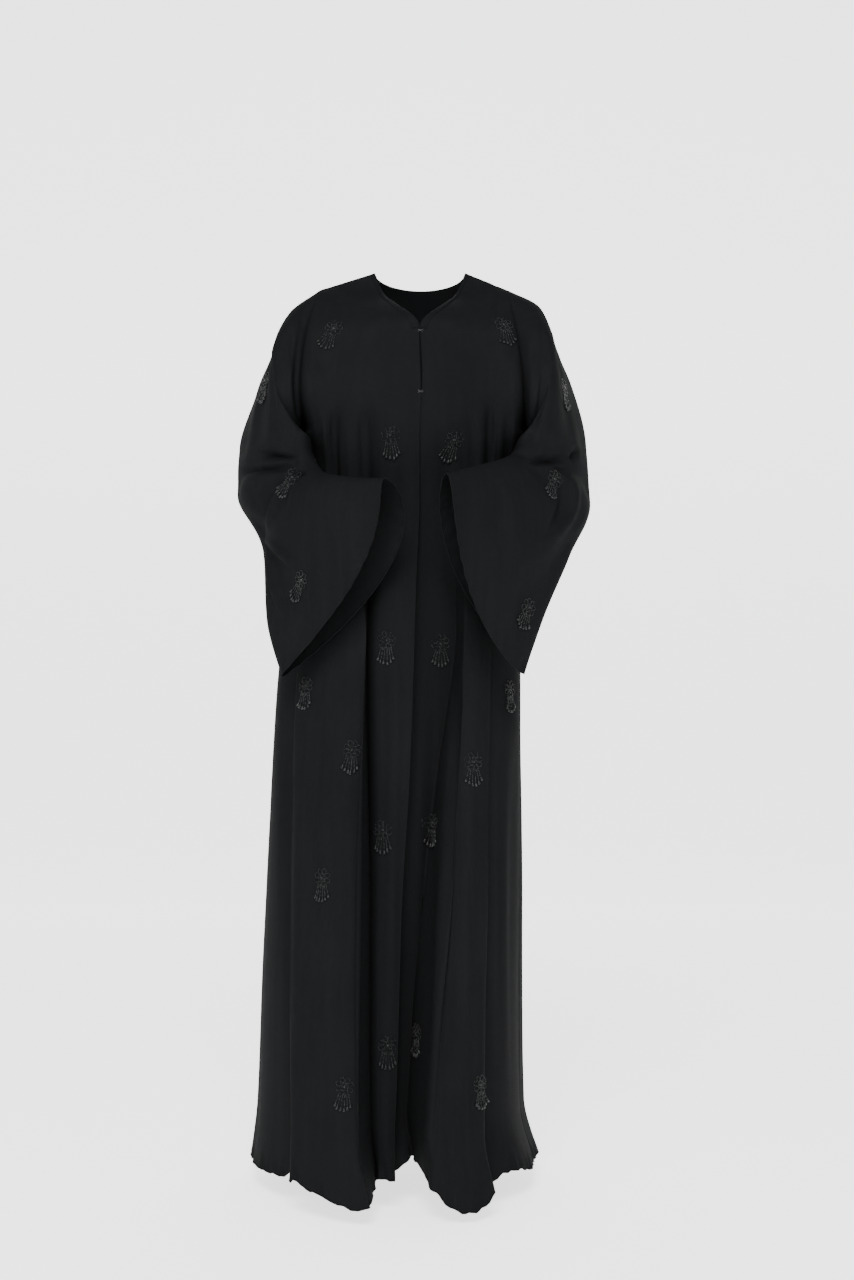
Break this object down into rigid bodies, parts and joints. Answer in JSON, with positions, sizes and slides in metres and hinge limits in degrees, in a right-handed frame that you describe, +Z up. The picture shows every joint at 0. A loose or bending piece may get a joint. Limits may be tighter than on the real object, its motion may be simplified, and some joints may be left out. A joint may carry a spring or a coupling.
{
  "type": "abaya cloak",
  "caption": "Open-front black abaya cloak with a V neck, wide bell sleeves and scattered beaded flowers, kept in its hollow worn shape.",
  "frame": {"origin": "between the two shoulder seams at the base of the neck, where the wearer's shoulders hold the cloak", "axes": "+Z up along the body, the front faces -Y, +X to the right of someone who looks at the front"},
  "size_m": [0.528, 0.4968, 1.3454],
  "materials": {
    "crepe": "matte black crepe",
    "band": "turned and topstitched black crepe",
    "beads": "black beads on a sewn backing",
    "metal": "dark polished wire"
  },
  "bodies": {
    "root": {"applique_01": "beads", "applique_02": "beads", "applique_03": "beads", "applique_04": "beads", "applique_05": "beads", "applique_06": "beads", "applique_07": "beads", "applique_08": "beads", "applique_09": "beads", "applique_10": "beads", "applique_11": "beads", "applique_12": "beads", "applique_13": "beads", "applique_14": "beads", "applique_15": "beads", "applique_16": "beads", "applique_17": "beads", "applique_18": "beads", "applique_19": "beads", "applique_20": "beads", "applique_21": "beads", "applique_22": "beads", "applique_23": "beads", "applique_24": "beads", "applique_25": "beads", "applique_26": "beads", "applique_27": "beads", "applique_28": "beads", "applique_29": "beads", "applique_30": "beads", "applique_31": "beads", "applique_32": "beads", "applique_33": "beads", "back": "crepe", "eye_lower": "metal", "eye_upper": "metal", "front_left": "crepe", "front_right": "crepe", "hook_lower": "metal", "hook_upper": "metal", "neck_band_back": "band", "neck_band_left": "band", "neck_band_right": "band", "sleeve_left": "crepe", "sleeve_left_bell": "crepe", "sleeve_left_middle": "crepe", "sleeve_right": "crepe", "sleeve_right_bell": "crepe", "sleeve_right_middle": "crepe"}
  },
  "joints": []
}
